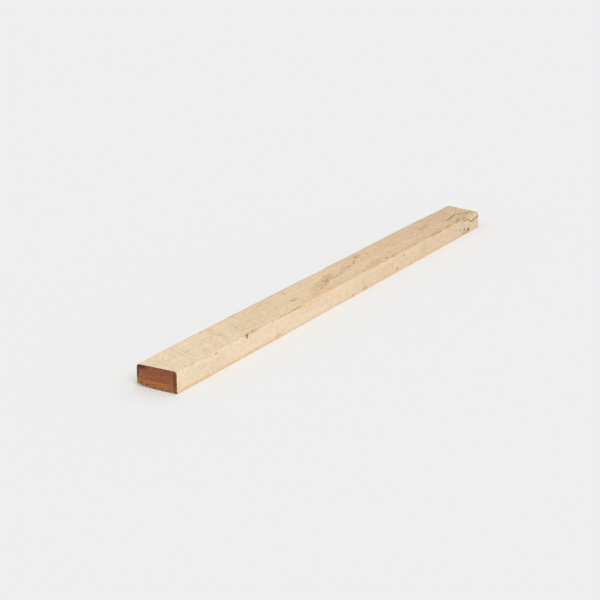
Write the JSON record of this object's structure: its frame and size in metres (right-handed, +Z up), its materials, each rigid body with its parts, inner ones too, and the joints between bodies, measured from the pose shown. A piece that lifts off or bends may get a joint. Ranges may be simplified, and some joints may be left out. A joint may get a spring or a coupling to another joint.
{
  "type": "hardwood batten",
  "caption": "Straight rough-sawn hardwood batten of rectangular section with rubbed arrises, docked ends, drying checks and a worn far corner.",
  "frame": {"origin": "middle of the batten's length and width, at the level that it lies on", "axes": "+X along the grain to the worn far end, -Y out of the front edge, +Z up out of the upper wide face"},
  "size_m": [1.2, 0.08, 0.04],
  "materials": {
    "sawn_hardwood": "rough-sawn, dry and unfinished, with dark weathered end grain"
  },
  "bodies": {
    "root": {"batten": "sawn_hardwood"}
  },
  "joints": []
}
